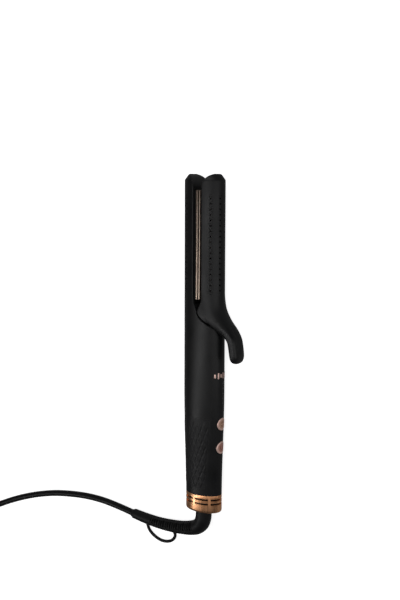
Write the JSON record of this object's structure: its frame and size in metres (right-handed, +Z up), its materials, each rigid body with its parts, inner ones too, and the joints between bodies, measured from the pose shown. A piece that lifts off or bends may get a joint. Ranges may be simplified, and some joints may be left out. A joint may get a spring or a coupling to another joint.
{
  "type": "hair crimper",
  "caption": "Straight hair styler with two vented heating arms, thumb lever, round buttons, fan in the handle, slotted end cap and a coiled mains cord with plug.",
  "frame": {"origin": "on the table, below the middle of the tool's own box (the cord set left out)", "axes": "+Y along the tool from the end cap to the tips, +X towards the thumb lever, +Z up from the table the tool lies on"},
  "size_m": [0.4409, 0.3982, 0.0285],
  "materials": {
    "housing_black": "satin moulded",
    "panel_black": "smooth satin",
    "grip_black": "embossed soft-touch",
    "pad_black": "ribbed",
    "carrier_black": "heat-resistant",
    "plate_coating": "fine coated",
    "copper_cap": "brushed metallic",
    "rose_gold": "satin metallic",
    "light_pipe": "smoked",
    "filter_mesh": "fine mesh",
    "nylon": "natural",
    "dark_nylon": "natural",
    "steel": "bright",
    "circuit_green": "solder mask",
    "switch_black": "moulded",
    "heater_ceramic": "ceramic",
    "silicone": "soft",
    "cord_black": "satin",
    "relief_black": "matt moulded",
    "tie_black": "woven strap",
    "pin_nickel": "nickel plated"
  },
  "bodies": {
    "cord_set": {"swivel_spindle": "dark_nylon", "strain_relief": "relief_black", "hang_loop": "relief_black", "power_cord": "cord_black", "cord_coil": "cord_black", "cord_tie": "tie_black", "cord_tail": "cord_black", "plug_sleeve": "relief_black", "plug_body": "relief_black", "plug_pins": "pin_nickel"},
    "handle": {"handle_housing": "housing_black", "front_panel": "panel_black", "grip_sleeve": "grip_black", "end_cap": "copper_cap", "intake_filter": "filter_mesh", "swivel_collar": "nylon", "fan_shroud": "dark_nylon", "fan_motor": "steel", "air_duct": "nylon", "control_board": "circuit_green", "button_switches": "switch_black", "board_screws": "steel", "indicator_lights": "light_pipe", "name_badge": "rose_gold", "hinge_pin": "steel", "lever_spring": "steel", "fixed_arm_shell": "housing_black", "fixed_arm_tip": "housing_black", "fixed_plate_carrier": "carrier_black", "fixed_heater": "heater_ceramic", "fixed_plate_springs": "silicone"},
    "clamp": {"clamp_arm_shell": "housing_black", "clamp_arm_tip": "housing_black", "clamp_plate_carrier": "carrier_black", "clamp_heater": "heater_ceramic", "clamp_plate_springs": "silicone", "lever_pad": "pad_black"},
    "power_button": {"power_button": "rose_gold"},
    "mode_button": {"mode_button": "rose_gold"},
    "fan_rotor": {"fan_rotor": "dark_nylon"},
    "fixed_plate": {"fixed_heat_plate": "plate_coating"},
    "clamp_plate": {"clamp_heat_plate": "plate_coating"}
  },
  "joints": [
    {"name": "cord_swivel", "type": "hinge", "parent": "cord_set", "child": "handle", "pos_m": [-0.0095, -0.156, 0.01425], "axis": [0, 1, 0], "continuous": true},
    {"name": "lever_hinge", "type": "hinge", "parent": "handle", "child": "clamp", "pos_m": [0.006, 0.0165, 0.01425], "axis": [0, 0, -1], "range_deg": [0, 14], "stiffness_Nm_per_rad": 0.6, "springref_deg": -8.59},
    {"name": "power_press", "type": "slide", "parent": "handle", "child": "power_button", "axis": [-1, 0, 0], "range_m": [0, 0.0007], "stiffness_N_per_m": 900, "springref_m": -0.0008},
    {"name": "mode_press", "type": "slide", "parent": "handle", "child": "mode_button", "axis": [-1, 0, 0], "range_m": [0, 0.0007], "stiffness_N_per_m": 900, "springref_m": -0.0008},
    {"name": "fan_spin", "type": "hinge", "parent": "handle", "child": "fan_rotor", "pos_m": [-0.0095, -0.156, 0.01425], "axis": [0, 1, 0], "continuous": true},
    {"name": "fixed_plate_float", "type": "slide", "parent": "handle", "child": "fixed_plate", "axis": [-1, 0, 0], "range_m": [0, 0.0006], "stiffness_N_per_m": 3000, "springref_m": -0.0003, "deforming": ["fixed_plate_springs"]},
    {"name": "clamp_plate_float", "type": "slide", "parent": "clamp", "child": "clamp_plate", "axis": [1, 0, 0], "range_m": [0, 0.0006], "stiffness_N_per_m": 3000, "springref_m": -0.0003, "deforming": ["clamp_plate_springs"]}
  ]
}
